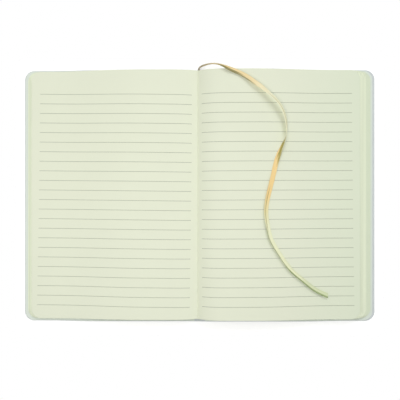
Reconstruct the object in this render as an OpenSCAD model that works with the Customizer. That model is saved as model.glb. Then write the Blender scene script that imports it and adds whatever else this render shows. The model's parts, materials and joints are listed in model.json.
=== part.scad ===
// A soft-covered, ruled notebook that lies open on a table.
// X runs across the spread to the right-hand page, Y towards the head of the
// pages and Z up. The origin is on the table, under the middle of the spread.

/* [Leaves] */
// Height of a page, from tail to head
page_h = 210; // [180:1:240]
// Length of a leaf, from its fold to its fore edge
leaf_l = 142.1; // [120:0.1:170]
// Thickness of one gathering of leaves
gathering_t = 0.8; // [0.6:0.05:1]
// Gatherings turned over to the left of the opening
left_gatherings = 3; // [2:1:10]
// Gatherings lying to the right of the opening
right_gatherings = 8; // [4:1:10]
// Radius of the round corners of the leaves and the covers
corner_r = 9; // [3:0.5:14]

/* [Opening] */
// Width of the strip along the fore edges where the leaves lie flat
flat_l = 24; // [20:1:36]
// Height that the left-hand pages arch up above that strip
left_arch = 6.4; // [2:0.1:8]
// Height that the right-hand pages arch up above that strip
right_arch = 6.4; // [2:0.1:8]
// Distance of the highest stretch of the left-hand page from the gutter
left_peak = 46; // [25:1:60]
// Distance of the highest stretch of the right-hand page from the gutter
right_peak = 46; // [25:1:60]
// Width of the slope that runs down from the left-hand page to the gutter
left_bank = 26; // [6:1:32]
// Width of the slope that runs down from the right-hand page to the gutter
right_bank = 28; // [6:1:32]
// Height above the base of the leaves at which the facing pages part
gutter_rise = 4.4; // [1:0.2:5]
// How far the uppermost left-hand leaf falls short of the lowest one at the fore edge
left_fan = 3.6; // [1:0.2:12]
// How far the uppermost right-hand leaf falls short of the lowest one at the fore edge
right_fan = 11.4; // [1:0.2:14]

/* [Cover] */
// Thickness of the cover sheet
cover_t = 1; // [0.6:0.1:2]
// How far a cover reaches past the lowest leaf at the fore edge
cover_lip = 2.5; // [0:0.25:5]
// Thickness of the paper pasted to the inside of each cover
pastedown_t = 0.15; // [0.1:0.05:0.3]
// Gap between the lowest leaves and the pasted-down sheets
leaf_gap = 0.1; // [0.05:0.05:0.3]
// Distance that the cloth over the folds stops short of the head and the tail
lining_inset = 3; // [1:1:10]
// Gap between the spine panel and a cover, where the cover sheet bends
hinge_gap = 0.2; // [0.15:0.05:0.5]

/* [Ruling] */
// Distance from one ruled line to the next
line_pitch = 8.12; // [6:0.02:12]
// Width of a ruled line
line_w = 0.3; // [0.2:0.05:0.6]
// Distance of the first line from the head of the page
head_margin = 20; // [10:0.5:40]
// Least distance of the last line from the tail of the page
tail_margin = 11; // [5:0.5:30]
// Bare strip between the gutter and the lines on the left-hand page
left_gutter_margin = 6; // [3:0.5:12]
// Bare strip between the fore edge and the lines on the left-hand page
left_edge_margin = 6; // [3:0.5:20]
// Bare strip between the gutter and the lines on the right-hand page
right_gutter_margin = 3.5; // [3:0.5:12]
// Bare strip between the fore edge and the lines on the right-hand page
right_edge_margin = 6.5; // [3:0.5:20]

/* [Ribbon] */
// Width of the ribbon marker
ribbon_w = 4; // [3:0.25:6]
// Thickness of the ribbon marker, with its crimp
ribbon_t = 0.4; // [0.3:0.05:0.6]

/* [Hidden] */

// Thickness that a ruled line stands proud of its page, so that it has a body
line_t = 0.05;
// How steeply the slopes fall towards the gutter
bank_power = 3;
// Flat strips that stand for each slope and for each arch
bank_steps = 7;
arch_steps = 14;

// A page holds as many ruled lines as fit between its margins
line_count = floor((page_h - head_margin - tail_margin) / line_pitch) + 1;
left_t = left_gatherings * gathering_t;
right_t = right_gatherings * gathering_t;
half_spine = (left_t + right_t) / 2;
// The gutter lies off the middle, because the two stacks differ
gutter_x = half_spine - right_t;
// The cloth glued over the folds fills the space between the folds and the spine panel
lining_t = pastedown_t + leaf_gap;
block_z = cover_t + lining_t;
arch_end = leaf_l - flat_l;
gutter_level = min(gutter_rise, left_t + left_arch, right_t + right_arch);
cover_from = half_spine + hinge_gap;
cover_to = half_spine + leaf_l + cover_lip;

// A smooth step from 0 to 1
function ease(t) = 0.5 - 0.5 * cos(180 * min(max(t, 0), 1));

// Height of a page above the base of the leaves, at a distance from the gutter
function page_rise(u, stack, arch, peak, bank) =
    stack + arch * ease((arch_end - u) / (arch_end - peak))
    - (stack + arch - gutter_level) * pow(max(0, 1 - u / bank), bank_power);

// Distances from the gutter at which a page's section bends
function stations(bank) = concat(
    [for (i = [0 : bank_steps - 1]) bank * pow(i / bank_steps, 1.3)],
    [for (i = [0 : arch_steps]) bank + (arch_end - bank) * i / arch_steps]);

// Section of a page from the gutter to the flat strip
function page_line(stack, arch, peak, bank) =
    [for (u = stations(bank)) [u, page_rise(u, stack, arch, peak, bank)]];

left_line = page_line(left_t, left_arch, left_peak, left_bank);
right_line = page_line(right_t, right_arch, right_peak, right_bank);

// The arch and the gutter take up some of the uppermost leaf, so it ends short of the lowest
left_reach = left_t + leaf_l - left_fan;
right_reach = right_t + leaf_l - right_fan;

// Distance of a gathering's fore edge from the gutter, counted from the lowest one
function gathering_reach(i, count, stack, reach) =
    stack + leaf_l + (reach - stack - leaf_l) * i / (count - 1);

// Plan of a sheet from one distance to another, with its outer corners rounded
module sheet_plan(from, to) {
    translate([from, -page_h / 2])
        square([to - corner_r - from, page_h]);
    translate([from, corner_r - page_h / 2])
        square([to - from, page_h - 2 * corner_r]);
    for (y = [-1, 1])
        translate([to - corner_r, y * (page_h / 2 - corner_r)])
            circle(r = corner_r, $fn = 64);
}

// Extrudes a section in the XZ plane evenly along Y
module along_page(length) {
    rotate([90, 0, 0])
        linear_extrude(height = length, center = true)
            children();
}

// Fore edges of one stack: each gathering stops a little short of the one below it
module gatherings(count, stack, reach) {
    for (i = [0 : count - 1])
        translate([0, 0, i * gathering_t])
            linear_extrude(height = gathering_t)
                sheet_plan(arch_end - flat_l / 8, gathering_reach(i, count, stack, reach));
}

// Arched part of both stacks, joined at the folds
module arched_section() {
    polygon(concat(
        [[-arch_end, 0], [arch_end, 0]],
        [for (i = [len(right_line) - 1 : -1 : 0]) right_line[i]],
        [for (i = [1 : len(left_line) - 1]) [-left_line[i][0], left_line[i][1]]]));
}

module page_block() {
    color("beige")
        translate([gutter_x, 0, block_z])
            union() {
                along_page(page_h)
                    arched_section();
                gatherings(right_gatherings, right_t, right_reach);
                mirror([1, 0, 0])
                    gatherings(left_gatherings, left_t, left_reach);
            }
}

// Section of a printed line: a thin skin on the page between two distances
module line_section(points, stack, from, to) {
    last = len(points) - 1;
    surface = concat(points, [[arch_end + flat_l, stack]]);
    intersection() {
        polygon(concat(
            surface,
            [for (i = [last + 1 : -1 : 0]) surface[i] + [0, line_t]]));
        translate([from, 0])
            square([to - from, stack + max(left_arch, right_arch) + 1]);
    }
}

module ruled_lines() {
    color("darkseagreen")
        for (i = [0 : line_count - 1])
            translate([gutter_x, page_h / 2 - head_margin - i * line_pitch, block_z])
                along_page(line_w) {
                    line_section(right_line, right_t, right_gutter_margin,
                        right_reach - right_edge_margin);
                    mirror([1, 0])
                        line_section(left_line, left_t, left_gutter_margin,
                            left_reach - left_edge_margin);
                }
}

module spine_lining() {
    color("white")
        translate([-half_spine, lining_inset - page_h / 2, cover_t])
            cube([2 * half_spine, page_h - 2 * lining_inset, lining_t]);
}

module spine_panel() {
    color("gainsboro")
        translate([-half_spine, -page_h / 2, 0])
            cube([2 * half_spine, page_h, cover_t]);
}

module cover() {
    color("gainsboro")
        linear_extrude(height = cover_t)
            sheet_plan(cover_from, cover_to);
}

module pastedown() {
    color("whitesmoke")
        translate([0, 0, cover_t])
            linear_extrude(height = pastedown_t)
                sheet_plan(cover_from, cover_to);
}

module front_cover() {
    mirror([1, 0, 0])
        cover();
}

module back_cover() {
    cover();
}

module front_pastedown() {
    mirror([1, 0, 0])
        pastedown();
}

module back_pastedown() {
    pastedown();
}

// Route of the ribbon's middle line, from the head of the spine over the head edge
// and down the right-hand page: x, y, z and the roll of its face in degrees
ribbon_route = [
    [-1, 105.7, 2.2, 72],
    [-0.8, 107.3, 2.7, 78],
    [0.8, 108.7, 4.4, 74],
    [4, 109.6, 6.3, 74],
    [8, 110, 9.2, 74],
    [12.5, 109.6, 12, 72],
    [18, 108, 14.2, 60],
    [24, 105, 15.8, 36],
    [29, 102.9, 15.5, 24],
    [35, 100, 15.9, 18],
    [40.5, 96.7, 16.6, 20],
    [46, 92.7, 17.3, 28],
    [51, 89.2, 17.8, 40],
    [55, 85.8, 18.1, 52],
    [58.5, 82.7, 18.3, 61],
    [62, 79.6, 18.3, 68],
    [65, 76.4, 18, 74],
    [69, 70, 17.1, 80],
    [71.2, 63.5, 15.9, 86],
    [72.2, 57, 15, 94],
    [72, 50.3, 14.6, 107],
    [70, 43.7, 14.5, 127],
    [67, 37, 14.4, 147],
    [64.5, 30.5, 14.2, 165],
    [62, 20.5, 14, 180],
    [60, 12, 14.2, 190],
    [58, 4, 14.4, 194],
    [56, -4.5, 14.6, 197],
    [55, -13, 14.8, 200],
    [55.5, -21, 14.8, 202],
    [57, -29.5, 14.7, 203],
    [59.5, -38, 14.6, 204],
    [64, -46, 14.2, 204],
    [69.5, -54.5, 13.5, 203],
    [76, -63, 12.6, 202],
    [86, -71.5, 11.2, 201],
    [97, -80, 9.8, 200],
    [107.5, -85, 9, 200]];

// The ribbon's flat section, with eight sides
ribbon_outline = [
    for (side = [[1, 1], [-1, 1], [-1, -1], [1, -1]])
        for (end = side[0] == side[1] ? [0, 1] : [1, 0])
            [side[0] * (ribbon_w / 2 - end * ribbon_t / 4), side[1] * ribbon_t / (end == 0 ? 4 : 2)]];

function route_value(i) = ribbon_route[max(0, min(i, len(ribbon_route) - 1))];

// Places of the ribbon's rings: the route's points, and one on a smooth curve between each
// two, so that the band twists in small steps
ribbon_stations = [
    for (i = [0 : len(ribbon_route) - 1])
        for (between = i < len(ribbon_route) - 1 ? [0, 1] : [0])
            between == 0
                ? route_value(i)
                : (9 * (route_value(i) + route_value(i + 1)) - route_value(i - 1) - route_value(i + 2)) / 16];

function ring_middle(i) = [for (k = [0 : 2]) ribbon_stations[i][k]];

function ring_direction(i) =
    let (step = ring_middle(min(i + 1, len(ribbon_stations) - 1)) - ring_middle(max(i - 1, 0)))
    step / norm(step);

// The section carried to one point of the route, rolled about the route
function ribbon_ring(i) =
    let (
        ahead = ring_direction(i),
        across = cross(ahead, [0, 0, 1]),
        level = across / norm(across),
        up = cross(level, ahead),
        roll = ribbon_stations[i][3],
        side = cos(roll) * level + sin(roll) * up,
        face = cos(roll) * up - sin(roll) * level)
    [for (p = ribbon_outline) ring_middle(i) + p[0] * side + p[1] * face];

module ribbon() {
    rings = len(ribbon_stations);
    sides = len(ribbon_outline);
    color("goldenrod")
        polyhedron(
            points = [for (i = [0 : rings - 1]) each ribbon_ring(i)],
            faces = concat(
                [[for (k = [0 : sides - 1]) k]],
                [[for (k = [sides - 1 : -1 : 0]) (rings - 1) * sides + k]],
                [for (i = [0 : rings - 2])
                    for (k = [0 : sides - 1])
                        [i * sides + k, (i + 1) * sides + k, (i + 1) * sides + (k + 1) % sides]],
                [for (i = [0 : rings - 2])
                    for (k = [0 : sides - 1])
                        [i * sides + k, (i + 1) * sides + (k + 1) % sides, i * sides + (k + 1) % sides]]));
}

page_block();
ruled_lines();
spine_lining();
spine_panel();
front_cover();
back_cover();
front_pastedown();
back_pastedown();
ribbon();
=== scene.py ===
# %% [markdown]
# A soft-covered notebook lies open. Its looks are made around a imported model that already
# holds every size, joint and body, so the first step loads that model as a fixed frame.
# Nothing in the frame is moved: each new piece is made where the frame says and rides on it.

# %% Load the frame
import json
import math

import bpy
import numpy as np
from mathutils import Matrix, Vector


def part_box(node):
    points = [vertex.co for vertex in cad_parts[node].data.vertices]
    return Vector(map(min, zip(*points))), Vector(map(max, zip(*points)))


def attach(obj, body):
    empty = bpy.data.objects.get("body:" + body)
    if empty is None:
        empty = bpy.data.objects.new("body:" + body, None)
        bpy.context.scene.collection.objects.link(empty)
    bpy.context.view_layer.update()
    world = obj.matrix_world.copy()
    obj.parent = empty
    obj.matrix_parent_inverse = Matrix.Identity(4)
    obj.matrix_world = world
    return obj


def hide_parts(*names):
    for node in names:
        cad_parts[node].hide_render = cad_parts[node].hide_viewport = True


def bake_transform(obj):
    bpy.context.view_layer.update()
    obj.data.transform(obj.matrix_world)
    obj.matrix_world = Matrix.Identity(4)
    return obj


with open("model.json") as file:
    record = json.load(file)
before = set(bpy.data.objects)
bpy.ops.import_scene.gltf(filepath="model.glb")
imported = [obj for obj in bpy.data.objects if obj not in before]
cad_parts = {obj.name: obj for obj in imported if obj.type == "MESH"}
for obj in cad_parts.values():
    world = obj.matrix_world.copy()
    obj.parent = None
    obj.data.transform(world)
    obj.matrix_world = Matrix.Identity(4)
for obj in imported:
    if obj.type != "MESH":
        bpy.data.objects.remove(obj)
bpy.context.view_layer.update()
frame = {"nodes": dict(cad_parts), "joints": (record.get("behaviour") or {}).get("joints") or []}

# %% [markdown]
# The camera looks straight down on the spread, as a product photographer's does. It stands
# about half a metre away, so the arched pages look a little larger than their flat fore
# edges. That is what bends the outline and the ruled lines so gently.

# %% Camera
MM = 0.001
picture_width = 400
page_scale = 0.8387 * MM
page_level = 10 * MM
camera_height = 520 * MM
aim_x = 0.05 * MM
aim_y = -4.5 * MM

camera_data = bpy.data.cameras.new("camera")
camera_data.sensor_width = 36
seen_width = picture_width * page_scale
camera_data.lens = camera_data.sensor_width * (camera_height - page_level) / seen_width
camera = bpy.data.objects.new("camera", camera_data)
camera.location = (aim_x, aim_y, camera_height)
bpy.context.scene.collection.objects.link(camera)
bpy.context.scene.camera = camera
print("lens", round(camera_data.lens, 1), "mm; the picture is", round(seen_width, 3), "m wide")

# %% [markdown]
# Most pieces of a notebook are sheets: a leaf, a cover, a ribbon. A sheet is a grid of
# points worked out by a formula. One helper turns a grid into a mesh, and another pairs an
# upper grid with a lower one and closes the rim between them, so that the sheet is solid.


# %% Grids into meshes
def grid_faces(rows, columns, around=False):
    """Quads that join neighbouring points of a rows by columns grid, counted row by row."""
    across = np.arange(columns if around else columns - 1)
    i, j = np.meshgrid(np.arange(rows - 1), across, indexing="ij")
    here, beside = i * columns + j, i * columns + (j + 1) % columns
    return np.stack([here, here + columns, beside + columns, beside], axis=-1).reshape(-1, 4)


def slab_faces(rows, columns):
    """Quads of a closed slab: an upper grid, then the same grid below it, and their rim."""
    lower = rows * columns
    top = grid_faces(rows, columns)
    index = np.arange(rows * columns).reshape(rows, columns)
    rim = np.concatenate([index[:, 0], index[-1, 1:], index[-2::-1, -1], index[0, -2:0:-1]])
    after = np.roll(rim, -1)
    side = np.stack([rim, lower + rim, lower + after, after], axis=-1)
    return np.concatenate([top, lower + top[:, ::-1], side])


def repeated(faces, points_each, count):
    """The same faces for several sheets whose points follow each other."""
    return (faces + points_each * np.arange(count)[:, None, None]).reshape(-1, faces.shape[-1])


def mesh_object(name, points, faces, flip=False, uv=None, ends=()):
    """An object from an array of points and an array of quads, with a UV for each point."""
    mesh = bpy.data.meshes.new(name)
    turned = faces[:, ::-1] if flip else faces
    closing = [list(end)[::-1] if flip else list(end) for end in ends]
    mesh.from_pydata(points.reshape(-1, 3).tolist(), [], turned.tolist() + closing)
    mesh.polygons.foreach_set("use_smooth", np.ones(len(mesh.polygons), bool))
    if uv is not None:
        corner = np.zeros(len(mesh.loops), np.int32)
        mesh.loops.foreach_get("vertex_index", corner)
        layer = mesh.uv_layers.new(name="along")
        layer.data.foreach_set("uv", uv.reshape(-1, 2)[corner].astype(np.float32).ravel())
    mesh.update()
    piece = bpy.data.objects.new(name, mesh)
    bpy.context.scene.collection.objects.link(piece)
    return piece


def crisp(piece, degrees=40):
    """Keeps the edges that turn by more than an angle sharp, and the others smooth."""
    piece.data.set_sharp_from_angle(angle=math.radians(degrees))
    return piece


print("3 by 4 points make", len(grid_faces(3, 4)), "quads, and", len(slab_faces(3, 4)), "as a closed slab")


# %% [markdown]
# The sizes come from the frame where it has them, so the looks can't drift away from the
# solids. The rest are the few numbers that shape an open notebook: how many leaves lie on
# each side, how high they arch, how far their ends fan out, and how steeply they run down
# into the gutter.

# %% Sizes of the open notebook
block_low, block_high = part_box("page_block")
cover_low, cover_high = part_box("back_cover")
spine_low, spine_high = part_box("spine_panel")

half_page = block_high[1]
base_z = block_low[2]
half_spine = spine_high[0]
leaf_length = block_high[0] - half_spine
corner_radius = 8 * MM
leaf_pitch = 0.1 * MM
leaf_thickness = 0.085 * MM
leaves = {"left": 24, "right": 64}
flat_strip = 24 * MM
arch_end = leaf_length - flat_strip
gutter_rise = 4.4 * MM
bank_power = 3
arch = {"left": 6.4 * MM, "right": 6.4 * MM}
peak = {"left": 46 * MM, "right": 46 * MM}
bank = {"left": 26 * MM, "right": 28 * MM}
fan = {"left": 3.6 * MM, "right": 11.4 * MM}
head_draw = 0.7 * MM
stack = {side: leaves[side] * leaf_pitch for side in leaves}
outward = {"left": -1, "right": 1}
gutter_x = half_spine - stack["right"]
print("gutter at", round(gutter_x / MM, 2), "mm; leaf length", round(leaf_length / MM, 1), "mm")

# %% [markdown]
# An open leaf rises from its fold, bends over into an arch, sinks back and lies flat along
# its fore edge. One formula gives that for the uppermost leaf. The leaves below follow it
# in proportion, each from its own place along the spine, so their ends fan out at the head
# and the tail as they do on a real book.


# %% The curve of a leaf
def ease(t):
    """A smooth step from 0 to 1: half of one minus the cosine of half a turn times t."""
    return 0.5 - 0.5 * np.cos(np.pi * np.clip(t, 0, 1))


def leaf_height(side, u, share=1.0):
    """Height above the base of the leaf with a share of the stack below it, at distance u.

    The leaf's level is the stack plus the eased arch, times the share. Close to its fold it
    drops from that level by one minus the distance over the bank's width, to a power.
    """
    start = stack[side] * (1 - share)
    level = share * (stack[side] + arch[side] * ease((arch_end - u) / (arch_end - peak[side])))
    width = bank[side] * (0.35 + 0.65 * share)
    near = np.clip(1 - (u - start) / width, 0, 1)
    return level - (level - share * gutter_rise) * near**bank_power


def round_corner(u, end, half, radius):
    """Half width of a sheet with round corners: it shrinks by a quarter circle at its end."""
    into = np.clip(u - (end - radius), 0, radius)
    return half - radius + np.sqrt(np.maximum(radius**2 - into**2, 0))


def corner_stations(end, radius, count):
    """Distances that divide the round corner's arc evenly, ending at the sheet's end."""
    return end - radius + radius * np.sin(np.linspace(0, np.pi / 2, count))


def drawn_in(x, y):
    """Trimming is never quite square: from 85 to 125 mm out on the left, the head draws in."""
    draw = head_draw * ease((-x - 85 * MM) / (40 * MM))
    return y * (1 - np.where(y > 0, draw, 0) / half_page)


reach = {side: stack[side] + leaf_length - fan[side] for side in leaves}
print("uppermost leaves reach", {side: round(reach[side] / MM, 1) for side in reach}, "mm")


# %% [markdown]
# Materials. Writing paper is matt and faintly fibrous: a fine speckle moves its colour by a
# hundredth or two, a slower cloud drifts it as paper does, and a small bump catches light.
# Colours are written as they look in a picture and turned into the linear values that
# shaders use.


# %% Material helpers
def linear(red, green, blue):
    """Linear colour from picture values of 0 to 255."""
    c = np.array([red, green, blue]) / 255
    out = np.where(c <= 0.04045, c / 12.92, ((c + 0.055) / 1.055) ** 2.4)
    return (*out.tolist(), 1.0)


class Shader:
    """A material's node tree, with short ways to add nodes and join them."""

    def __init__(self, name, roughness, specular=0.3):
        self.material = bpy.data.materials.new(name)
        self.material.use_nodes = True
        self.tree = self.material.node_tree
        self.surface = self.tree.nodes["Principled BSDF"]
        self.surface.inputs["Roughness"].default_value = roughness
        self.surface.inputs["Specular IOR Level"].default_value = specular
        self.place = self.tree.nodes.new("ShaderNodeTexCoord")

    def join(self, source, target):
        self.tree.links.new(source, target)

    def noise(self, size, detail=3, stretch=(1, 1, 1), source="Object"):
        """Noise whose grains are about a size across, in metres, stretched along each axis."""
        mapping = self.tree.nodes.new("ShaderNodeMapping")
        mapping.inputs["Scale"].default_value = [1 / (size * s) for s in stretch]
        self.join(self.place.outputs[source], mapping.inputs["Vector"])
        node = self.tree.nodes.new("ShaderNodeTexNoise")
        node.inputs["Scale"].default_value = 1
        node.inputs["Detail"].default_value = detail
        self.join(mapping.outputs[0], node.inputs["Vector"])
        return node.outputs["Fac"]

    def ramp(self, factor, stops):
        """A colour ramp over a factor, with stops of (place, colour)."""
        node = self.tree.nodes.new("ShaderNodeValToRGB")
        elements = node.color_ramp.elements
        elements[0].position, elements[0].color = stops[0]
        elements[1].position, elements[1].color = stops[-1]
        for place, colour in stops[1:-1]:
            elements.new(place).color = colour
        self.join(factor, node.inputs["Fac"])
        return node.outputs["Color"]

    def math(self, operation, first, second):
        """A sum, product or other operation on two factors, either of which may be a number."""
        node = self.tree.nodes.new("ShaderNodeMath")
        node.operation = operation
        for socket, value in zip(node.inputs, (first, second)):
            if isinstance(value, (int, float)):
                socket.default_value = value
            else:
                self.join(value, socket)
        return node.outputs[0]

    def blend(self, first, share, second, rest):
        """Two factors added by their shares."""
        return self.math("ADD", self.math("MULTIPLY", first, share), self.math("MULTIPLY", second, rest))

    def parts(self, source="Object"):
        """The X, Y and Z of a place on the piece, or along and across it for its UV."""
        node = self.tree.nodes.new("ShaderNodeSeparateXYZ")
        self.join(self.place.outputs[source], node.inputs[0])
        return node.outputs

    def band(self, value, low, high, soft):
        """1 where a value lies between two limits, fading to 0 over a soft width at each."""
        off = self.math("ABSOLUTE", self.math("SUBTRACT", value, (low + high) / 2), 0.0)
        inside = self.math("SUBTRACT", (high - low + soft) / 2, off)
        node = self.math("MULTIPLY", inside, 1 / soft)
        node.node.use_clamp = True
        return node

    def over(self, base, paint, share, kind="MIX"):
        """A colour over another by a share, which is a factor or a number."""
        node = self.tree.nodes.new("ShaderNodeMix")
        node.data_type = "RGBA"
        node.blend_type = kind
        self.join(base, node.inputs[6])
        if isinstance(share, float):
            node.inputs["Factor"].default_value = share
        else:
            self.join(share, node.inputs["Factor"])
        if isinstance(paint, tuple):
            node.inputs[7].default_value = paint
        else:
            self.join(paint, node.inputs[7])
        return node.outputs[2]

    def colour(self, output):
        self.join(output, self.surface.inputs["Base Color"])

    def bump(self, height, distance, strength=1.0):
        """A bump whose full height is a distance in metres."""
        node = self.tree.nodes.new("ShaderNodeBump")
        node.inputs["Distance"].default_value = distance
        node.inputs["Strength"].default_value = strength
        self.join(height, node.inputs["Height"])
        self.join(node.outputs["Normal"], self.surface.inputs["Normal"])


def tint(colour, share):
    """A linear colour, lighter or darker by a share."""
    return (*[min(1.0, c * (1 + share)) for c in colour[:3]], 1.0)


def wear(piece, shader, slot, *bodies):
    """Gives a piece its material and the body that it rides on. Its slot is not used."""
    piece.data.materials.clear()
    piece.data.materials.append(shader.material)
    if bodies:
        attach(piece, bodies[0])
    return piece


print("a picture value of 128 is", round(linear(128, 128, 128)[0], 3), "in linear light")


# %% [markdown]
# Each paper has its own colour, and towards the right the open page is painted a little
# darker and greener, as painted shade where less and cooler light reaches it. The trimmed
# edges of the leaves show fine stripes that run along the edge, as layers of paper do, and the
# leaves that stick out furthest are painted darker, as painted shade deep beside the cover.
# Ink is a little broken where it sits on fibres, and the cover has a fine grain with slow
# scuffs. Noise and soft bands do all of it, the noise stretched the way that the real grain
# runs, so no picture is needed.

# %% Paper, ink, cover and lining
def paper_shader(name, colour, speckle=0.012):
    """Matt paper: fine fibres over a slow cloud, with a bump of a few hundredths of a mm."""
    shader = Shader(name, roughness=0.85, specular=0.2)
    fibres = shader.noise(0.35 * MM, detail=4, stretch=(1.6, 1, 1))
    cloud = shader.noise(30 * MM, detail=2)
    mixed = shader.blend(fibres, 0.6, cloud, 0.4)
    shader.colour(shader.ramp(mixed, [(0.3, tint(colour, -speckle)), (0.7, tint(colour, speckle))]))
    shader.bump(fibres, 0.02 * MM)
    return shader


page_paper = paper_shader("page_paper", linear(232, 236, 215))
# Painted shade: the open page is painted darker and greener towards its right edge, where less and cooler
# light falls.
painted_shade_right_edge = page_paper.band(page_paper.parts()["X"], 110 * MM, 200 * MM, 70 * MM)
paper_colour = page_paper.surface.inputs["Base Color"].links[0].from_socket
page_paper.colour(page_paper.over(paper_colour, linear(227, 235, 212), painted_shade_right_edge))

end_paper = paper_shader("end_paper", linear(224, 232, 222))

trimmed_paper = paper_shader("trimmed_paper", linear(224, 230, 206))
stripes = trimmed_paper.noise(0.55 * MM, detail=3, stretch=(1, 900, 1))
layers = trimmed_paper.ramp(stripes, [(0.36, linear(221, 228, 204)), (0.6, linear(240, 246, 222))])
# Painted shade: the lower leaves of the right fore edge, deep beside the cover, are painted darker than the
# light stripes above them.
painted_shade_lower_leaves = trimmed_paper.band(trimmed_paper.parts()["X"], 140.9 * MM, 149 * MM, 0.5 * MM)
trimmed_paper.colour(trimmed_paper.over(layers, linear(226, 234, 211), painted_shade_lower_leaves))

line_ink = Shader("line_ink", roughness=0.7, specular=0.2)
ink_gaps = line_ink.noise(0.25 * MM, detail=2)
ink_tones = [(0.35, linear(150, 156, 140)), (0.7, linear(176, 181, 162))]
line_ink.colour(line_ink.ramp(ink_gaps, ink_tones))

cover_sheet = Shader("cover_sheet", roughness=0.55, specular=0.35)
grain = cover_sheet.noise(0.7 * MM, detail=5)
scuffs = cover_sheet.noise(18 * MM, detail=4)
cover_tone = linear(208, 214, 215)
cover_mix = cover_sheet.blend(grain, 0.5, scuffs, 0.5)
cover_tones = [(0.3, tint(cover_tone, -0.05)), (0.7, tint(cover_tone, 0.03))]
cover_sheet.colour(cover_sheet.ramp(cover_mix, cover_tones))
cover_sheet.bump(grain, 0.08 * MM)

lining_cloth = Shader("lining_cloth", roughness=0.9, specular=0.15)
weave = lining_cloth.noise(0.5 * MM, detail=2, stretch=(0.5, 2, 1))
cloth_tones = [(0.3, linear(205, 205, 198)), (0.7, linear(235, 235, 228))]
lining_cloth.colour(lining_cloth.ramp(weave, cloth_tones))
lining_cloth.bump(weave, 0.06 * MM)
print("materials", sorted(m.name for m in bpy.data.materials))

# %% [markdown]
# The ribbon marker comes first among the pieces, because it is the one thing that can lie
# outside the outline. It is a satin band 4 mm wide. It leaves the spine almost on its edge,
# lies down over the arch, stands on its edge again where it turns over, and lies with its
# other face up down the page. Its route is a list of points, with the roll of its face at
# each.

# %% The ribbon's route
ribbon_width = 4 * MM
ribbon_thickness = 0.22 * MM
ribbon_rings = 420
ribbon_route = np.array([
    [-1, 105.7, 2.2, 72], [-0.8, 107.3, 2.7, 78], [0.8, 108.7, 4.4, 74], [4, 109.6, 6.3, 74],
    [8, 110, 9.2, 74], [12.5, 109.6, 12, 72], [18, 108, 14.2, 60], [24, 105, 15.8, 36],
    [29, 102.9, 15.5, 24], [35, 100, 15.9, 18], [40.5, 96.7, 16.6, 20], [46, 92.7, 17.3, 28],
    [51, 89.2, 17.8, 40], [55, 85.8, 18.1, 52], [58.5, 82.7, 18.3, 61], [62, 79.6, 18.3, 68],
    [65, 76.4, 18, 74], [69, 70, 17.1, 80], [71.2, 63.5, 15.9, 86], [72.2, 57, 15, 94],
    [72, 50.3, 14.6, 107], [70, 43.7, 14.5, 127], [67, 37, 14.4, 147], [64.5, 30.5, 14.2, 165],
    [62, 20.5, 14, 180], [60, 12, 14.2, 190], [58, 4, 14.4, 194], [56, -4.5, 14.6, 197],
    [55, -13, 14.8, 200], [55.5, -21, 14.8, 202], [57, -29.5, 14.7, 203], [59.5, -38, 14.6, 204],
    [64, -46, 14.2, 204], [69.5, -54.5, 13.5, 203], [76, -63, 12.6, 202], [86, -71.5, 11.2, 201],
    [97, -80, 9.8, 200], [107.5, -85, 9, 200]])
route_points = ribbon_route[:, :3] * MM
route_roll = np.radians(ribbon_route[:, 3])


def smooth_through(values, at, ask):
    """Values of the smooth cubic curve through given values, with no bend at its two ends.

    The bends at the knots come from one set of equations: at each knot the slopes of the
    two cubics that meet there are equal.
    """
    h = np.diff(at)
    n = len(at)
    system = np.eye(n)
    right = np.zeros((n, values.shape[1]))
    inner = np.arange(1, n - 1)
    system[inner, inner - 1] = h[:-1]
    system[inner, inner] = 2 * (h[:-1] + h[1:])
    system[inner, inner + 1] = h[1:]
    slope = np.diff(values, axis=0) / h[:, None]
    right[inner] = 6 * (slope[1:] - slope[:-1])
    bend = np.linalg.solve(system, right)
    k = np.clip(np.searchsorted(at, ask) - 1, 0, n - 2)
    a = ((at[k + 1] - ask) / h[k])[:, None]
    b = 1 - a
    span = (h[k] ** 2)[:, None] / 6
    curve = (a**3 - a) * bend[k] + (b**3 - b) * bend[k + 1]
    return a * values[k] + b * values[k + 1] + curve * span


knot = np.concatenate([[0], np.cumsum(np.linalg.norm(np.diff(route_points, axis=0), axis=1))])
ask = np.linspace(0, knot[-1], ribbon_rings)
ribbon_line = smooth_through(route_points, knot, ask)
ribbon_roll = smooth_through(route_roll[:, None], knot, ask)[:, 0]
ribbon_length = float(np.linalg.norm(np.diff(ribbon_line, axis=0), axis=1).sum())
print("ribbon", round(ribbon_length, 4), "m long")


# %% [markdown]
# A band has a direction along it, one across it and one out of its face, and the roll turns
# the last two about the first. A soft body simulation could drape it, but its path and its
# twist are known from the photo, so a section carried along the route is surer. A real
# ribbon is also a little hollow across, and leans further over where it bends over the head
# and where it turns over, so it never looks like a line.

# %% The ribbon's band
def carried_frames(line, roll):
    """Directions along, across and out of a band: level and upright, then rolled about it."""
    ahead = np.gradient(line, axis=0)
    ahead /= np.linalg.norm(ahead, axis=1)[:, None]
    level = np.cross(ahead, [0, 0, 1])
    level /= np.linalg.norm(level, axis=1)[:, None]
    up = np.cross(level, ahead)
    c, s = np.cos(roll)[:, None], np.sin(roll)[:, None]
    return ahead, c * level + s * up, c * up - s * level


def ribbon_outline(count):
    """Section of the band: a flat loop with rounded ends, across and out of the band."""
    turn = np.linspace(0, 2 * np.pi, count, endpoint=False)
    x = np.sign(np.cos(turn)) * np.abs(np.cos(turn)) ** 0.35 * ribbon_width / 2
    y = np.sign(np.sin(turn)) * np.abs(np.sin(turn)) ** 0.6 * ribbon_thickness / 2
    return x, y


# Each swell is its height, its place as a share of the length, and its half width in mm.
hollow_swells = ((0.3, 0.17, 24), (0.5, 0.355, 13), (0.4, 0.66, 16), (0.65, 0.86, 45))
lean_swells = ((18, 0.03, 12), (18, 0.17, 20), (36, 0.345, 26))


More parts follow.
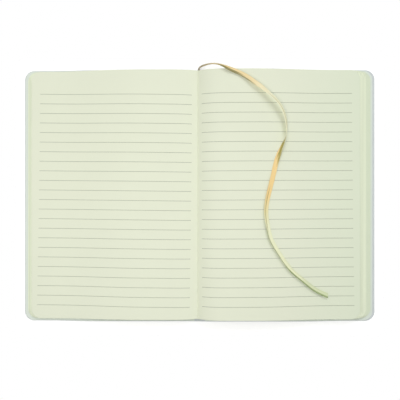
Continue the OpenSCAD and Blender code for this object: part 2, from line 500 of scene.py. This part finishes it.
def swells(at, table):
    """Bell curves along the ribbon, added up.

    Each is its height times e to minus the square of the distance over its width.
    """
    height, place, width = np.array(table).T[:, :, None]
    return (height * np.exp(-(((at - place * ribbon_length) / (width * MM)) ** 2))).sum(axis=0)


def cupping(at):
    """Depth of the band's hollow: a slow wave, and swells where it bends or leans on edge."""
    wave = 0.16 + 0.10 * np.sin(at / (17 * MM) + 0.6) + 0.05 * np.sin(at / (6.1 * MM))
    return (wave + swells(at, hollow_swells)) * MM


# A hollow band is narrower across, as a shallow arc is: its width times one minus 8/3 of the
# square of its depth over its width. Its middle rises by 0.6 of its depth.
lean = np.radians(swells(ask, lean_swells))
ahead, across, face = carried_frames(ribbon_line, ribbon_roll - lean)
section_x, section_y = ribbon_outline(28)
depth = cupping(ask)[:, None]
hollow = depth * (0.6 - (2 * section_x[None] / ribbon_width) ** 2)
chord = section_x[None] * (1 - 8 / 3 * (depth / ribbon_width) ** 2)
band = (ribbon_line[:, None] + chord[:, :, None] * across[:, None]
        + (section_y[None] + hollow)[:, :, None] * face[:, None])
rings, around = band.shape[:2]
cut_slant = -0.3
cut_length = 4 * MM
last = ask > ask[-1] - cut_length
band[last] += ((ask[last] - ask[-1]) / cut_length + 1)[:, None, None] * (
    cut_slant * section_x[None, :, None] * ahead[last][:, None])
band_uv = np.stack(np.broadcast_arrays(ask[:, None], section_x[None, :]), axis=-1)
ribbon = mesh_object(
    "ribbon_marker", band, grid_faces(rings, around, around=True), flip=True, uv=band_uv,
    ends=[np.arange(around)[::-1], np.arange(around) + (rings - 1) * around])
print(ribbon.name, rings, "rings of", around, "points")

# %% [markdown]
# Satin changes its tone with the way it faces, because its threads lie long on one side. A
# shader that works this out from the light needs threads far finer than a picture shows, so
# its sheen and shade are painted on the band instead, over the ribbon's gold. The painted
# tone follows the ribbon's length: dark painted shade where it leaves the spine, gold where
# the threads face the eye, a pale painted sheen where the band leans away, olive painted shade
# where it turns over, and a pale greenish painted sheen down the page. Narrow painted paths
# are darker or paler: painted shade where the hollow band rolls an edge away from the light,
# and painted shade and sheen where it lets its other side be seen. All of them are places on
# the band itself, so they bend with it.

# %% Satin
satin = Shader("ribbon_satin", roughness=0.42, specular=0.45)
threads = satin.noise(0.09 * MM, detail=1, stretch=(14, 1, 1), source="UV")
slubs = satin.noise(7 * MM, detail=2, stretch=(1.5, 0.5, 1), source="UV")
along = satin.parts("UV")
place_along = satin.math("MULTIPLY", along["X"], 1 / ribbon_length)
drift = satin.math("MULTIPLY", satin.math("SUBTRACT", slubs, 0.5), 0.03)
# Painted sheen and shade over the ribbon's gold: dark where it leaves the spine, pale sheen where it leans
# away, olive shade where it turns over, pale greenish sheen down the page.
gold, straw, pale_sheen = linear(248, 216, 150), linear(242, 222, 170), linear(243, 241, 208)
olive_shade, moss_sheen, dusk_shade = linear(170, 158, 82), linear(240, 242, 205), linear(158, 152, 108)
satin_sheen_and_shade = satin.ramp(satin.math("ADD", place_along, drift), [
    (0.0, linear(140, 124, 82)), (0.05, linear(182, 162, 110)), (0.09, linear(240, 212, 150)),
    (0.2, straw), (0.27, pale_sheen), (0.405, pale_sheen), (0.44, olive_shade), (0.468, olive_shade), (0.495, gold),
    (0.6, gold), (0.655, linear(236, 228, 178)), (0.7, moss_sheen), (0.88, moss_sheen),
    (0.93, linear(222, 229, 190)), (1.0, linear(218, 227, 184))])

# Each painted path of shade or sheen: its start and end as shares of the length, its low and
# high edge across the band in mm, and its colour. An edge at 3 or a place at 1.1 lies past the
# band's own.
painted_sheen_and_shade_paths = (
    (0.08, 0.16, 0.1, 3.0, linear(140, 131, 76)),
    (0.14, 0.205, 1.1, 3.0, dusk_shade),
    (0.27, 0.4, 0.5, 1.0, linear(188, 184, 136)),
    (0.41, 0.46, 1.1, 3.0, pale_sheen),
    (0.45, 0.5, -3.0, -0.9, gold),
    (0.47, 0.5, 0.7, 3.0, olive_shade),
    (0.585, 0.71, -0.6, -0.1, linear(166, 152, 90)),
    (0.7, 1.1, -3.0, -1.0, linear(176, 183, 142)),
    (0.84, 1.1, -3.0, -0.5, linear(152, 167, 116)))
# Each path lays a strip of painted shade, darker, or of painted sheen, paler, on the band.
for start, end, low, high, paint in painted_sheen_and_shade_paths:
    stretch = satin.band(place_along, start, end, 0.03)
    strip = satin.band(along["Y"], low * MM, high * MM, 0.4 * MM)
    satin_sheen_and_shade = satin.over(satin_sheen_and_shade, paint, satin.math("MULTIPLY", stretch, strip))
weave_light = satin.ramp(threads, [(0.3, (0.93, 0.93, 0.93, 1)), (0.7, (1, 1, 1, 1))])
satin.colour(satin.over(satin_sheen_and_shade, weave_light, 1.0, "MULTIPLY"))
satin.surface.inputs["Anisotropic"].default_value = 0.5
satin.surface.inputs["Sheen Weight"].default_value = 0.2
satin.surface.inputs["Sheen Roughness"].default_value = 0.35
satin.bump(threads, 0.03 * MM)
wear(ribbon, satin, "ribbon_satin", "book")
print("satin with", len(painted_sheen_and_shade_paths), "painted paths")
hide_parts("ribbon")

# %% [markdown]
# The leaves. A block could be one solid with stripes painted on its edges, but a low light
# shows that at once. Here each stack is one object of many thin slabs, one for each leaf, so
# the fore edges step out leaf by leaf and the head and tail show their layers. The lowest
# leaf reaches furthest. A trimmed block never springs back quite evenly: on the thick side
# the upper leaves slip in a few bunches, and every leaf a hair more.

# %% The two stacks
rng = np.random.default_rng(7)
columns = 7
hair_slip = 0.08 * MM
lower_slips = (1.0 * MM, 5.2 * MM)
bunch_slips = np.array([5.1, 3.4, 1.7, 0.0]) * MM


def leaf_reaches(side):
    """Fore edge distance of every leaf, from the lowest up.

    On the left the leaves fan out evenly. On the right the upper ones slip in a few bunches,
    with a step below them down to the lower ones.
    """
    count = leaves[side]
    lowest = stack[side] + leaf_length
    hair = rng.uniform(-hair_slip, hair_slip, count)
    if side == "left":
        fan_out = np.linspace(lowest, reach[side], count)
    else:
        lower = lowest - np.linspace(*lower_slips, count // 2)
        bunches = np.repeat(bunch_slips, count // 2 // len(bunch_slips))
        fan_out = np.concatenate([lower, reach[side] + bunches])
    return np.minimum(fan_out + hair, lowest)


def below(u, z, thickness):
    """The under side of a thin sheet: each point moved a thickness square to the curve."""
    du, dz = np.gradient(u, axis=-1), np.gradient(z, axis=-1)
    size = np.hypot(du, dz) + 1e-12
    return u + thickness * dz / size, z - thickness * du / size


def leaf_stack(side):
    """All leaves but the uppermost as slabs: rows run out from the fold, columns along Y."""
    count = leaves[side] - 1
    share = (np.arange(count) + 1) / leaves[side]
    ends = leaf_reaches(side)[:count, None]
    start = (stack[side] * (1 - share))[:, None]
    slope_end = start + bank[side]
    u = np.concatenate([
        start + bank[side] * np.linspace(0, 1, 10)[None, :-1] ** 1.4,
        slope_end + (ends - corner_radius - slope_end) * np.linspace(0, 1, 18)[None],
        ends - corner_radius + corner_radius * np.sin(np.linspace(0, np.pi / 2, 9))[None, 1:],
    ], axis=1)
    z = leaf_height(side, u, share[:, None])
    half = round_corner(u, ends, half_page, corner_radius)
    u, z = np.hstack([start, u]), np.hstack([0 * start, z])
    half = np.hstack([half[:, :1], half])
    y = half[:, :, None] * np.linspace(-1, 1, columns)
    faces_of_leaf = []
    for sheet_u, sheet_z in ((u, z), below(u, z, leaf_thickness)):
        x = gutter_x + outward[side] * sheet_u[:, :, None]
        level = base_z + np.maximum(sheet_z, 0)[:, :, None]
        faces_of_leaf.append(np.stack(np.broadcast_arrays(x, drawn_in(x, y), level), axis=-1))
    points = np.stack(faces_of_leaf, axis=1)
    rows = u.shape[1]
    faces = repeated(slab_faces(rows, columns), 2 * rows * columns, count)
    piece = mesh_object(f"{side}_leaves", points, faces, flip=outward[side] > 0)
    return crisp(piece)


for side in leaves:
    pile = leaf_stack(side)
    wear(pile, trimmed_paper, "page_paper", "book")
    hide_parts("page_block")
    print(pile.name, len(pile.data.polygons), "faces")

# %% [markdown]
# The two open pages get a finer grid of their own, because they fill the picture. Real paper
# isn't perfectly even: it swells by a tenth of a millimetre here and there, which the light
# and the ruled lines both show. Crossed waves in the mesh give that, and the lines can then
# follow the same surface, which they couldn't if a bump in the paper's material gave it.

# %% The open pages
def page_swell(x, y):
    """Slow unevenness of an open page: three long waves that cross, never below the next leaf."""
    a = np.sin(x / (31 * MM) + 0.8) * np.sin(y / (47 * MM) + 0.4)
    b = np.sin(x / (52 * MM) - 1.1 + y / (38 * MM))
    c = np.sin(y / (21 * MM) + x / (90 * MM))
    return (0.13 + 0.06 * a + 0.045 * b + 0.025 * c) * MM


fold_gap = 0.02 * MM
hidden_rows = 5


def page_surface(side, u, y):
    """Height of the open page: the leaf's curve plus its unevenness, which fades at the fold."""
    fade = ease(u / (20 * MM))
    return base_z + leaf_height(side, u) + fade * page_swell(outward[side] * u, y)


def open_page(side):
    """The uppermost leaf as one slab on a fine grid, from the spine up and over the arch."""
    end = reach[side]
    u = np.concatenate([
        bank[side] * np.linspace(0, 1, 33)[:-1] ** 1.4,
        np.linspace(bank[side], end - corner_radius, 60)[:-1],
        corner_stations(end, corner_radius, 16)])
    half = round_corner(u, end, half_page, corner_radius)
    hidden = np.linspace(0, 0.98, hidden_rows)
    u = np.concatenate([0 * hidden, u]) + fold_gap
    y = np.concatenate([half[0] + 0 * hidden, half])[:, None] * np.linspace(-1, 1, 91)
    x = np.broadcast_to(u[:, None], y.shape)
    z = page_surface(side, x - fold_gap, y)
    z[:hidden_rows] = base_z + hidden[:, None] * gutter_rise
    lower_x, lower_z = below(x.T, z.T, leaf_thickness)
    x, lower_x = gutter_x + outward[side] * x, gutter_x + outward[side] * lower_x.T
    y = drawn_in(x, y)
    upper = np.stack([x, y, z], axis=-1)
    lower = np.stack([lower_x, y, np.maximum(lower_z.T, base_z)], axis=-1)
    piece = mesh_object(f"{side}_open_page", np.stack([upper, lower]),
                        slab_faces(*y.shape), flip=outward[side] > 0)
    return crisp(piece)


for side in leaves:
    page = open_page(side)
    wear(page, page_paper, "page_paper", "book")
    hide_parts("page_block")
    print(page.name, len(page.data.polygons), "faces")

# %% [markdown]
# The ruling is print. It could be painted in the paper's material, but a line a third of a
# millimetre wide needs a very large baked picture to stay sharp. So each line is a narrow
# strip that lies on the page's own surface, a few hundredths above it. The sheets are folded
# and trimmed after they are printed, so the lines tilt a little and their ends don't line up.

# %% Ruled lines
line_low, line_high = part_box("ruled_lines")
line_width = 0.3 * MM
line_pitch = 8.12 * MM
first_line = line_high[1] - line_width / 2
line_count = round((line_high[1] - line_low[1]) / line_pitch) + 1
gutter_margin = {"left": 6 * MM, "right": 3.5 * MM}
line_end = {"left": gutter_x - line_low[0], "right": line_high[0] - gutter_x}
line_lift = 0.06 * MM
print_tilt = {"left": (-1.15 * MM, 0.3 * MM), "right": (-0.35 * MM, 0.3 * MM)}
inner_slip = {"left": (-1.25 * MM, 0.6 * MM), "right": (0, 0.3 * MM)}
outer_slip = {"left": (-1.2 * MM, 1.4 * MM), "right": (-0.5 * MM, 1.5 * MM)}
stations = 90


def slipped(place, slip, fall):
    """Ends of the lines from head to tail: a place plus a slip that grows with a power."""
    return place + slip[0] + (slip[1] - slip[0]) * fall[:, None]


def ruled_strips():
    """Strips on both pages: rows run along a line, two columns are its edges.

    The print sits slightly askew, so each line tilts and its ends slip outward to the tail.
    """
    blocks, points, before = [], [], 0
    fall = (np.arange(line_count) / (line_count - 1)) ** 1.5
    for side in leaves:
        start = slipped(gutter_margin[side], inner_slip[side], fall)
        end = slipped(line_end[side], outer_slip[side], fall)
        u = start + (end - start) * np.linspace(0, 1, stations)
        middle = first_line - line_pitch * np.arange(line_count)
        y = middle[:, None, None] + line_width / 2 * np.array([-1, 1])
        tilt = np.linspace(*print_tilt[side], stations)[None, :, None]
        y = y + tilt
        x = np.broadcast_to(u[:, :, None], y.shape)
        z = page_surface(side, x, y) + line_lift
        points.append(np.stack([gutter_x + outward[side] * x, y, z], axis=-1).reshape(-1, 3))
        faces = grid_faces(stations, 2)[:, ::-outward[side]]
        blocks.append(before + repeated(faces, 2 * stations, line_count))
        before += len(points[-1])
    return mesh_object("page_ruling", np.concatenate(points), np.concatenate(blocks))


ruling = ruled_strips()
wear(ruling, line_ink, "line_ink", "book")
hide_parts("ruled_lines")
print(ruling.name, line_count, "lines a page")

# %% [markdown]
# The cover is one supple sheet on the real notebook: front, spine and back. It could be one
# mesh here, but its two sides belong to different bodies, so it is three shells. Each cover's
# shell starts on the spine's side of the hinge. Head and tail reach a little past the leaves,
# and the tail isn't straight.


# %% Cover shells
# Bows of the tail on the left and on the right.
near_bow = np.array([1.0, 1.25]) * MM
far_bow = np.array([0.25, 0.6]) * MM
seam_zone = 10 * MM


def rim_distance(x, y, end, half, radius):
    """Distance of a point in a sheet from the sheet's three free sides and round corners."""
    dx, dy = x - (end - radius), np.abs(y) - (half - radius)
    outside = np.hypot(np.maximum(dx, 0), np.maximum(dy, 0))
    return radius - outside - np.minimum(np.maximum(dx, dy), 0)


def rounded_drop(distance, radius):
    """How far a rounded edge falls below the face, at a distance from the rim."""
    into = np.clip(radius - distance, 0, radius)
    return radius - np.sqrt(radius**2 - into**2)


def near_edges(count, edge_share):
    """Places from -1 to 1 that crowd towards both ends."""
    middle = np.linspace(-1 + edge_share, 1 - edge_share, count)
    step = edge_share * np.array([0.0, 0.06, 0.2, 0.45])
    return np.concatenate([-1 + step, middle, 1 - step[::-1]])


def bowed(x, y):
    """Points of the cover, whose head and tail aren't quite straight.

    The tail bows out by one amount near the spine and less at the far end, and the head draws
    in as the leaves do.
    """
    near = np.interp(x, [-seam_zone, seam_zone], near_bow)
    far = np.interp(x, [-seam_zone, seam_zone], far_bow)
    bow = near + (far - near) * ease((np.abs(x) - 85 * MM) / (45 * MM))
    return drawn_in(x, y) * (1 + np.where(y < 0, bow, 0) / half_page)


def sheet_shell(name, direction, start, end, low, high, edge, crease=None, lip=(0, 0)):
    """A sheet with round corners and rounded rims, from one distance to another along X.

    It reaches past the pages by a lip at the tail and one at the head, which shift its middle
    along Y and widen it: half width is the pages' half plus the mean of both lips.
    """
    half_sheet = cover_high[1] + (lip[0] + lip[1]) / 2
    shift = (lip[1] - lip[0]) / 2
    inner = np.concatenate([np.linspace(start, start + 6 * MM, 25)[:-1],
                            np.linspace(start + 6 * MM, end - corner_radius, 50)[:-1]])
    u = np.concatenate([inner, corner_stations(end, corner_radius, 20)])
    half_height = round_corner(u, end, half_sheet, corner_radius)
    y = half_height[:, None] * near_edges(41, 0.012)
    x = np.broadcast_to(u[:, None], y.shape)
    drop = rounded_drop(rim_distance(x, y, end, half_sheet, corner_radius), edge)
    top, bottom = high - drop, low + drop
    if crease is not None:
        place, depth, width = crease
        bottom = bottom + depth * np.exp(-(((x - place) / width) ** 2))
    y = bowed(direction * x, y + shift)
    points = np.stack([np.stack([direction * x, y, top], axis=-1),
                       np.stack([direction * x, y, bottom], axis=-1)])
    return crisp(mesh_object(name, points, slab_faces(*y.shape), flip=direction > 0), 60)


hinge_x = abs(frame["joints"][0]["pos_m"][0])
seam_x = half_spine - 1.2 * MM
cover_end = {"left": cover_high[0] + 0.3 * MM, "right": cover_high[0] - 0.05 * MM}
cover_lip = np.array([2.0, 1.3]) * MM
bare_rim = {"left": 0.5 * MM, "right": 1.9 * MM}
pastedown_low, pastedown_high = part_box("back_pastedown")


def bend_at_hinge(piece):
    """Bakes the sheet's placement into its points."""
    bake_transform(piece)


for side, body in (("left", "front"), ("right", "back")):
    way = outward[side]
    shell = sheet_shell(f"{body}_cover_shell", way, seam_x, cover_end[side], cover_low[2], cover_high[2],
                        0.35 * MM, crease=(hinge_x + 1.2 * MM, 0.25 * MM, 0.5 * MM), lip=cover_lip)
    wear(shell, cover_sheet, "cover_sheet")
    bend_at_hinge(shell)
    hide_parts(f"{body}_cover")
    paste = sheet_shell(f"{body}_end_paper", way, pastedown_low[0], cover_end[side] - bare_rim[side],
                        pastedown_low[2], pastedown_high[2], 0.05 * MM, lip=cover_lip - 0.4 * MM)
    wear(paste, end_paper, "end_paper")
    bend_at_hinge(paste)
    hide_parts(f"{body}_pastedown")
    print(shell.name, "ends at", round(cover_end[side] / MM, 2), "mm, its bare rim is", bare_rim[side] / MM)

# %% [markdown]
# The spine's shell lies between the two covers' shells and is as long as they are. The cloth
# lining under the leaves is hidden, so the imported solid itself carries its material.

# %% Spine
half_sheet = spine_high[1] + cover_lip.mean()
spine_y = near_edges(41, 0.012) * half_sheet
spine_x = np.linspace(-seam_x, seam_x, 24)
sx, sy = np.meshgrid(spine_x, spine_y, indexing="ij")
spine_drop = rounded_drop(half_sheet - np.abs(sy), 0.35 * MM)
sy = bowed(sx, sy + (cover_lip[1] - cover_lip[0]) / 2)
spine = mesh_object("spine_shell", np.stack([
    np.stack([sx, sy, spine_high[2] - spine_drop], axis=-1),
    np.stack([sx, sy, spine_low[2] + spine_drop], axis=-1)]), slab_faces(*sx.shape), flip=True)
crisp(spine, 60)
wear(spine, cover_sheet, "cover_sheet", "book")
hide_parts("spine_panel")

lining = frame["nodes"]["spine_lining"]
lining.data.materials.clear()
lining.data.materials.append(lining_cloth.material)
print("spine", round(2000 * seam_x, 1), "mm wide, sheets", round(2000 * half_sheet, 1), "mm long")

# %% [markdown]
# The light is a photographer's table: a white surface, soft light from all round, one large
# soft lamp beyond the head on the right, and a small one overhead that gives the pages their
# gentle fall of light. The surface keeps the notebook's faint shadow, and adds a little light
# of its own for the eye alone, so that it reads white. It is seen only close to the notebook,
# and beyond that the world is white, so a cover that swings down isn't hidden by the table.

# %% Floor, lamp and world
floor_half = 3.0
floor_drop = 0.1 * MM
corners = np.array([[-1, -1], [1, -1], [1, 1], [-1, 1]]) * floor_half
floor = mesh_object("floor", np.column_stack([corners, np.full(4, -floor_drop)]), np.array([[0, 1, 2, 3]]))
table = Shader("white_table", roughness=1.0)
table.tree.nodes.remove(table.surface)
cloth = table.tree.nodes.new("ShaderNodeBsdfDiffuse")
cloth.inputs["Color"].default_value = (0.8, 0.8, 0.8, 1)
glow = table.tree.nodes.new("ShaderNodeEmission")


def seen_directly(tree):
    """1 for rays that the eye sees straight, mirrored or through glass, and 0 for the rest."""
    rays = tree.nodes.new("ShaderNodeLightPath")
    first, total = [tree.nodes.new("ShaderNodeMath") for _ in range(2)]
    tree.links.new(rays.outputs["Is Camera Ray"], first.inputs[0])
    tree.links.new(rays.outputs["Is Glossy Ray"], first.inputs[1])
    tree.links.new(first.outputs[0], total.inputs[0])
    tree.links.new(rays.outputs["Is Transmission Ray"], total.inputs[1])
    total.use_clamp = True
    return total.outputs[0]


seen = seen_directly(table.tree)
table.join(table.math("MULTIPLY", seen, 0.405), glow.inputs["Strength"])
lit = table.tree.nodes.new("ShaderNodeAddShader")
table.join(cloth.outputs[0], lit.inputs[0])
table.join(glow.outputs[0], lit.inputs[1])
spot = table.parts()
near_x = table.band(spot["X"], -155 * MM, 155 * MM, 5 * MM)
near_y = table.band(spot["Y"], -118 * MM, 112 * MM, 6 * MM)
away = table.math("SUBTRACT", 1.0, table.math("MULTIPLY", near_x, near_y))
clear = table.tree.nodes.new("ShaderNodeBsdfTransparent")
both = table.tree.nodes.new("ShaderNodeMixShader")
table.join(table.math("MULTIPLY", away, seen), both.inputs["Fac"])
table.join(lit.outputs[0], both.inputs[1])
table.join(clear.outputs[0], both.inputs[2])
table.join(both.outputs[0], table.tree.nodes["Material Output"].inputs["Surface"])
floor.data.materials.append(table.material)
print("floor", 2 * floor_half, "m wide, seen within 0.31 by 0.23 m")


def softbox(name, place, size, watts, colour):
    """A square soft lamp at a place, turned to face the origin."""
    data = bpy.data.lights.new(name, "AREA")
    data.size = size
    data.energy = watts
    data.color = colour
    lamp = bpy.data.objects.new(name, data)
    lamp.location = place
    lamp.rotation_mode = "QUATERNION"
    lamp.rotation_quaternion = (-lamp.location).to_track_quat("-Z", "Y")
    lamp.visible_camera = False
    bpy.context.scene.collection.objects.link(lamp)
    return lamp


softbox("key", (0.52, 0.80, 0.95), 0.6, 5.2, (0.98, 1.0, 1.0))
softbox("overhead", (-0.11, -0.025, 0.45), 0.3, 0.783, (1.0, 0.97, 0.94))

world = bpy.data.worlds.new("studio")
world.use_nodes = True
sky = world.node_tree
soft = sky.nodes["Background"]
soft.inputs["Color"].default_value = (0.985, 1, 0.995, 1)
soft.inputs["Strength"].default_value = 0.47
white = sky.nodes.new("ShaderNodeBackground")
white.inputs["Color"].default_value = (1, 1, 1, 1)
white.inputs["Strength"].default_value = 1.0
choice = sky.nodes.new("ShaderNodeMixShader")
sky.links.new(seen_directly(sky), choice.inputs["Fac"])
sky.links.new(soft.outputs[0], choice.inputs[1])
sky.links.new(white.outputs[0], choice.inputs[2])
sky.links.new(choice.outputs[0], sky.nodes["World Output"].inputs["Surface"])
bpy.context.scene.world = world
print("lamps", sorted(light.name for light in bpy.data.lights))
bpy.context.scene.view_settings.view_transform = "Standard"
